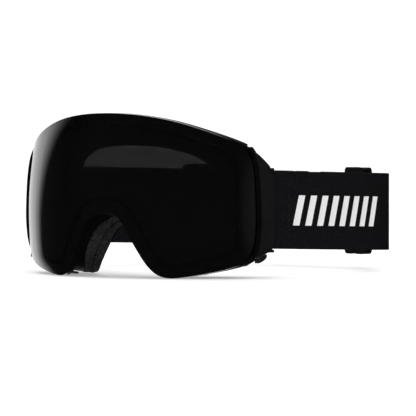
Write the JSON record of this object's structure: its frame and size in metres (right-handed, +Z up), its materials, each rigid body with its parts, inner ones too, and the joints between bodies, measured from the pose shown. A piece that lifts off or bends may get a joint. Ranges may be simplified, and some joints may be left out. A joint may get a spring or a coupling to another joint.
{
  "type": "ski goggles",
  "caption": "Frameless-look ski goggles: curved tinted lens held by magnets and side levers, vented flexible frame, layered face foam, and an elastic strap with sliders and a rear clip.",
  "frame": {"origin": "middle of the footprint, at the level the goggles stand on", "axes": "+Z up, the lens faces -Y, the wearer's left side is +X"},
  "size_m": [0.2176, 0.222, 0.1052],
  "materials": {
    "lens_tint": "polished smoke tint, faint mirror",
    "lens_clear": "clear anti-fog sheet",
    "foam_seal": "closed-cell foam",
    "magnet": "plated",
    "frame_black": "satin moulded",
    "frame_flex": "flexible polyurethane, matt",
    "vent_foam": "open-cell foam",
    "foam_base": "open-cell foam",
    "foam_soft": "soft foam",
    "fleece": "brushed fleece",
    "cover_black": "satin moulded",
    "steel_pin": "turned",
    "lever_grey": "fine grain",
    "webbing": "woven elastic",
    "silicone": "glossy silicone",
    "pattern_white": "woven white",
    "thread": "stitching",
    "clip_plastic": "moulded acetal"
  },
  "bodies": {
    "frame": {"front_frame": "frame_black", "frame_magnets": "magnet", "face_frame": "frame_flex", "vent_foam_top": "vent_foam", "vent_foam_bottom": "vent_foam", "face_foam_base": "foam_base", "face_foam_soft": "foam_soft", "face_fleece": "fleece", "side_cover_left": "cover_black", "side_cover_right": "cover_black", "strap_pin_left": "steel_pin", "strap_pin_right": "steel_pin", "latch_pins": "steel_pin"},
    "lens": {"outer_lens": "lens_tint", "inner_lens": "lens_clear", "lens_gasket": "foam_seal", "lens_magnets": "magnet"},
    "latch_left": {"latch_lever_left": "lever_grey"},
    "latch_right": {"latch_lever_right": "lever_grey"},
    "strap_left": {"strap_left": "webbing", "grip_lines_left": "silicone", "strap_pattern_left": "pattern_white", "bar_tacks_left": "thread", "clip_male": "clip_plastic"},
    "strap_right": {"strap_right": "webbing", "grip_lines_right": "silicone", "strap_pattern_right": "pattern_white", "bar_tacks_right": "thread", "clip_female": "clip_plastic"},
    "slider_left": {"slider_left": "clip_plastic"},
    "slider_right": {"slider_right": "clip_plastic"}
  },
  "joints": [
    {"name": "lens_pull", "type": "slide", "parent": "frame", "child": "lens", "axis": [0, -1, 0], "range_m": [0, 0.04]},
    {"name": "latch_left_press", "type": "hinge", "parent": "frame", "child": "latch_left", "pos_m": [0.0867, -0.05822, 0.01194], "axis": [0, 0, 1], "range_deg": [0, 12], "stiffness_Nm_per_rad": 0.02},
    {"name": "latch_right_press", "type": "hinge", "parent": "frame", "child": "latch_right", "pos_m": [-0.0867, -0.05822, 0.01194], "axis": [0, 0, -1], "range_deg": [0, 12], "stiffness_Nm_per_rad": 0.02},
    {"name": "strap_left_swing", "type": "hinge", "parent": "frame", "child": "strap_left", "pos_m": [0.0865, -0.04702, 0.04294], "axis": [0, 0, -1], "range_deg": [0, 45]},
    {"name": "strap_right_swing", "type": "hinge", "parent": "frame", "child": "strap_right", "pos_m": [-0.0865, -0.04702, 0.04294], "axis": [0, 0, 1], "range_deg": [0, 45]},
    {"name": "slider_left_slide", "type": "slide", "parent": "strap_left", "child": "slider_left", "axis": [-0.951, 0.309, -0.0119], "range_m": [0, 0.02]},
    {"name": "slider_right_slide", "type": "slide", "parent": "strap_right", "child": "slider_right", "axis": [0.951, 0.309, -0.0119], "range_m": [0, 0.02]}
  ],
  "couplings": [
    {"joint": "strap_right_swing", "follows": "strap_left_swing", "ratio": 1}
  ]
}
